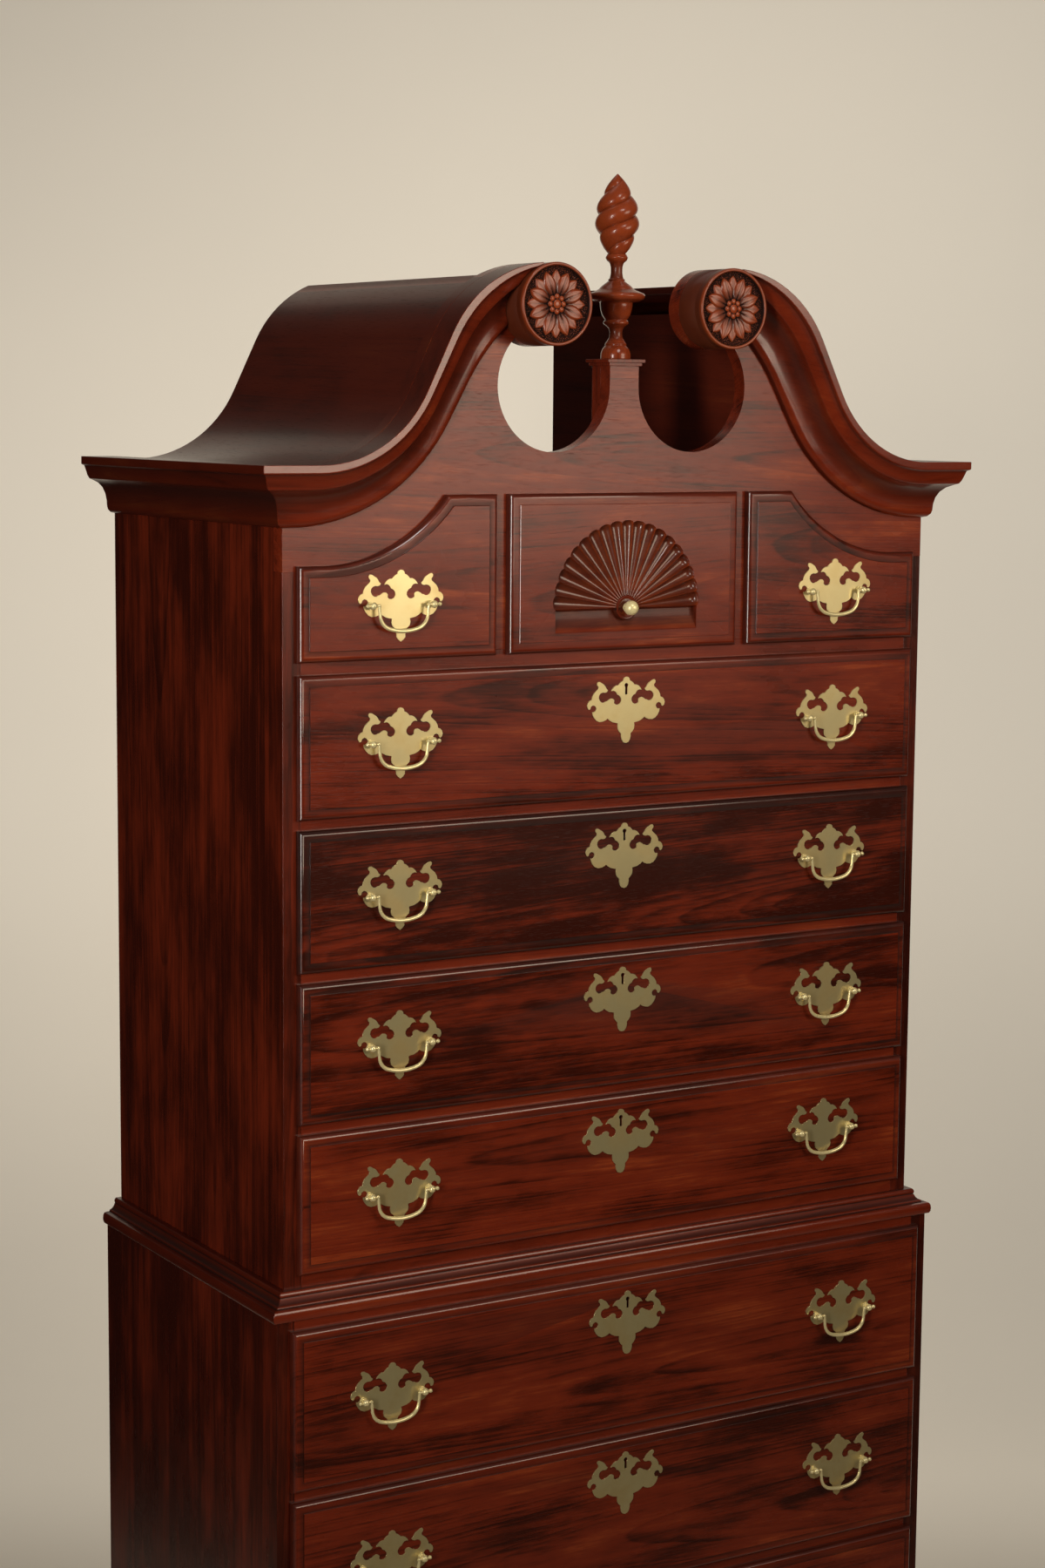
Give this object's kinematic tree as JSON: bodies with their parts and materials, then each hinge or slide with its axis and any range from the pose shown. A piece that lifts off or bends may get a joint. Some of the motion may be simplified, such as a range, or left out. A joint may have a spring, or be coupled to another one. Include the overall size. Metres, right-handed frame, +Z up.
{
  "type": "chest-on-chest",
  "caption": "Tall chest-on-chest with a scrolled bonnet top, flame finial, carved fan drawer, lipped drawers with brass bail pulls, and bracket feet.",
  "frame": {"origin": "on the floor, under the middle of the overall box", "axes": "+X to the right along the front, +Y to the back, +Z up; drawers open towards -Y"},
  "size_m": [0.9588, 0.4944, 2.032],
  "materials": {
    "case_wood": "dark red-brown cherry, satin lacquer",
    "drawer_wood": "pale, thinly sealed",
    "back_wood": "plain brown stain",
    "brass": "polished, lacquered"
  },
  "bodies": {
    "case": {"scroll_board": "case_wood", "cornice_moulding": "case_wood", "bonnet_roof": "case_wood", "upper_case_sides": "case_wood", "lower_case_sides": "case_wood", "case_backs": "back_wood", "upper_case_frame": "case_wood", "lower_case_frame": "case_wood", "waist_moulding": "case_wood", "base_moulding": "case_wood", "bracket_feet": "case_wood", "rosettes": "case_wood", "finial_plinth": "case_wood", "finial": "case_wood"},
    "upper_drawer_1": {"upper_drawer_1_front": "case_wood", "upper_drawer_1_box": "drawer_wood", "upper_drawer_1_brasses": "brass"},
    "upper_drawer_1_bail_left": {"upper_drawer_1_bail_left": "brass"},
    "upper_drawer_1_bail_right": {"upper_drawer_1_bail_right": "brass"},
    "upper_drawer_2": {"upper_drawer_2_front": "case_wood", "upper_drawer_2_box": "drawer_wood", "upper_drawer_2_brasses": "brass"},
    "upper_drawer_2_bail_left": {"upper_drawer_2_bail_left": "brass"},
    "upper_drawer_2_bail_right": {"upper_drawer_2_bail_right": "brass"},
    "upper_drawer_3": {"upper_drawer_3_front": "case_wood", "upper_drawer_3_box": "drawer_wood", "upper_drawer_3_brasses": "brass"},
    "upper_drawer_3_bail_left": {"upper_drawer_3_bail_left": "brass"},
    "upper_drawer_3_bail_right": {"upper_drawer_3_bail_right": "brass"},
    "upper_drawer_4": {"upper_drawer_4_front": "case_wood", "upper_drawer_4_box": "drawer_wood", "upper_drawer_4_brasses": "brass"},
    "upper_drawer_4_bail_left": {"upper_drawer_4_bail_left": "brass"},
    "upper_drawer_4_bail_right": {"upper_drawer_4_bail_right": "brass"},
    "lower_drawer_1": {"lower_drawer_1_front": "case_wood", "lower_drawer_1_box": "drawer_wood", "lower_drawer_1_brasses": "brass"},
    "lower_drawer_1_bail_left": {"lower_drawer_1_bail_left": "brass"},
    "lower_drawer_1_bail_right": {"lower_drawer_1_bail_right": "brass"},
    "lower_drawer_2": {"lower_drawer_2_front": "case_wood", "lower_drawer_2_box": "drawer_wood", "lower_drawer_2_brasses": "brass"},
    "lower_drawer_2_bail_left": {"lower_drawer_2_bail_left": "brass"},
    "lower_drawer_2_bail_right": {"lower_drawer_2_bail_right": "brass"},
    "lower_drawer_3": {"lower_drawer_3_front": "case_wood", "lower_drawer_3_box": "drawer_wood", "lower_drawer_3_brasses": "brass"},
    "lower_drawer_3_bail_left": {"lower_drawer_3_bail_left": "brass"},
    "lower_drawer_3_bail_right": {"lower_drawer_3_bail_right": "brass"},
    "top_drawer_left": {"top_drawer_left_front": "case_wood", "top_drawer_left_box": "drawer_wood", "top_drawer_left_brasses": "brass"},
    "top_drawer_left_bail": {"top_drawer_left_bail": "brass"},
    "top_drawer_centre": {"top_drawer_centre_front": "case_wood", "top_drawer_centre_box": "drawer_wood", "top_drawer_centre_knob": "brass"},
    "top_drawer_right": {"top_drawer_right_front": "case_wood", "top_drawer_right_box": "drawer_wood", "top_drawer_right_brasses": "brass"},
    "top_drawer_right_bail": {"top_drawer_right_bail": "brass"}
  },
  "joints": [
    {"name": "upper_drawer_1_slide", "type": "slide", "parent": "case", "child": "upper_drawer_1", "axis": [0, -1, 0], "range_m": [0, 0.32]},
    {"name": "upper_drawer_1_bail_left_swing", "type": "hinge", "parent": "upper_drawer_1", "child": "upper_drawer_1_bail_left", "pos_m": [-0.2976, -0.2206, 1.3999], "axis": [-1, 0, 0], "range_deg": [-8, 100]},
    {"name": "upper_drawer_1_bail_right_swing", "type": "hinge", "parent": "upper_drawer_1", "child": "upper_drawer_1_bail_right", "pos_m": [0.2976, -0.2206, 1.3999], "axis": [-1, 0, 0], "range_deg": [-8, 100]},
    {"name": "upper_drawer_2_slide", "type": "slide", "parent": "case", "child": "upper_drawer_2", "axis": [0, -1, 0], "range_m": [0, 0.32]},
    {"name": "upper_drawer_2_bail_left_swing", "type": "hinge", "parent": "upper_drawer_2", "child": "upper_drawer_2_bail_left", "pos_m": [-0.2976, -0.2206, 1.2297], "axis": [-1, 0, 0], "range_deg": [-8, 100]},
    {"name": "upper_drawer_2_bail_right_swing", "type": "hinge", "parent": "upper_drawer_2", "child": "upper_drawer_2_bail_right", "pos_m": [0.2976, -0.2206, 1.2297], "axis": [-1, 0, 0], "range_deg": [-8, 100]},
    {"name": "upper_drawer_3_slide", "type": "slide", "parent": "case", "child": "upper_drawer_3", "axis": [0, -1, 0], "range_m": [0, 0.32]},
    {"name": "upper_drawer_3_bail_left_swing", "type": "hinge", "parent": "upper_drawer_3", "child": "upper_drawer_3_bail_left", "pos_m": [-0.2976, -0.2206, 1.0595], "axis": [-1, 0, 0], "range_deg": [-8, 100]},
    {"name": "upper_drawer_3_bail_right_swing", "type": "hinge", "parent": "upper_drawer_3", "child": "upper_drawer_3_bail_right", "pos_m": [0.2976, -0.2206, 1.0595], "axis": [-1, 0, 0], "range_deg": [-8, 100]},
    {"name": "upper_drawer_4_slide", "type": "slide", "parent": "case", "child": "upper_drawer_4", "axis": [0, -1, 0], "range_m": [0, 0.32]},
    {"name": "upper_drawer_4_bail_left_swing", "type": "hinge", "parent": "upper_drawer_4", "child": "upper_drawer_4_bail_left", "pos_m": [-0.2976, -0.2206, 0.8893], "axis": [-1, 0, 0], "range_deg": [-8, 100]},
    {"name": "upper_drawer_4_bail_right_swing", "type": "hinge", "parent": "upper_drawer_4", "child": "upper_drawer_4_bail_right", "pos_m": [0.2976, -0.2206, 0.8893], "axis": [-1, 0, 0], "range_deg": [-8, 100]},
    {"name": "lower_drawer_1_slide", "type": "slide", "parent": "case", "child": "lower_drawer_1", "axis": [0, -1, 0], "range_m": [0, 0.32]},
    {"name": "lower_drawer_1_bail_left_swing", "type": "hinge", "parent": "lower_drawer_1", "child": "lower_drawer_1_bail_left", "pos_m": [-0.3164, -0.2401, 0.6607], "axis": [-1, 0, 0], "range_deg": [-8, 100]},
    {"name": "lower_drawer_1_bail_right_swing", "type": "hinge", "parent": "lower_drawer_1", "child": "lower_drawer_1_bail_right", "pos_m": [0.3164, -0.2401, 0.6607], "axis": [-1, 0, 0], "range_deg": [-8, 100]},
    {"name": "lower_drawer_2_slide", "type": "slide", "parent": "case", "child": "lower_drawer_2", "axis": [0, -1, 0], "range_m": [0, 0.32]},
    {"name": "lower_drawer_2_bail_left_swing", "type": "hinge", "parent": "lower_drawer_2", "child": "lower_drawer_2_bail_left", "pos_m": [-0.3164, -0.2401, 0.4634], "axis": [-1, 0, 0], "range_deg": [-8, 100]},
    {"name": "lower_drawer_2_bail_right_swing", "type": "hinge", "parent": "lower_drawer_2", "child": "lower_drawer_2_bail_right", "pos_m": [0.3164, -0.2401, 0.4634], "axis": [-1, 0, 0], "range_deg": [-8, 100]},
    {"name": "lower_drawer_3_slide", "type": "slide", "parent": "case", "child": "lower_drawer_3", "axis": [0, -1, 0], "range_m": [0, 0.32]},
    {"name": "lower_drawer_3_bail_left_swing", "type": "hinge", "parent": "lower_drawer_3", "child": "lower_drawer_3_bail_left", "pos_m": [-0.3164, -0.2401, 0.2661], "axis": [-1, 0, 0], "range_deg": [-8, 100]},
    {"name": "lower_drawer_3_bail_right_swing", "type": "hinge", "parent": "lower_drawer_3", "child": "lower_drawer_3_bail_right", "pos_m": [0.3164, -0.2401, 0.2661], "axis": [-1, 0, 0], "range_deg": [-8, 100]},
    {"name": "top_drawer_left_slide", "type": "slide", "parent": "case", "child": "top_drawer_left", "axis": [0, -1, 0], "range_m": [0, 0.32]},
    {"name": "top_drawer_left_bail_swing", "type": "hinge", "parent": "top_drawer_left", "child": "top_drawer_left_bail", "pos_m": [-0.2976, -0.2206, 1.5518], "axis": [-1, 0, 0], "range_deg": [-8, 100]},
    {"name": "top_drawer_centre_slide", "type": "slide", "parent": "case", "child": "top_drawer_centre", "axis": [0, -1, 0], "range_m": [0, 0.32]},
    {"name": "top_drawer_right_slide", "type": "slide", "parent": "case", "child": "top_drawer_right", "axis": [0, -1, 0], "range_m": [0, 0.32]},
    {"name": "top_drawer_right_bail_swing", "type": "hinge", "parent": "top_drawer_right", "child": "top_drawer_right_bail", "pos_m": [0.2976, -0.2206, 1.5518], "axis": [-1, 0, 0], "range_deg": [-8, 100]}
  ]
}
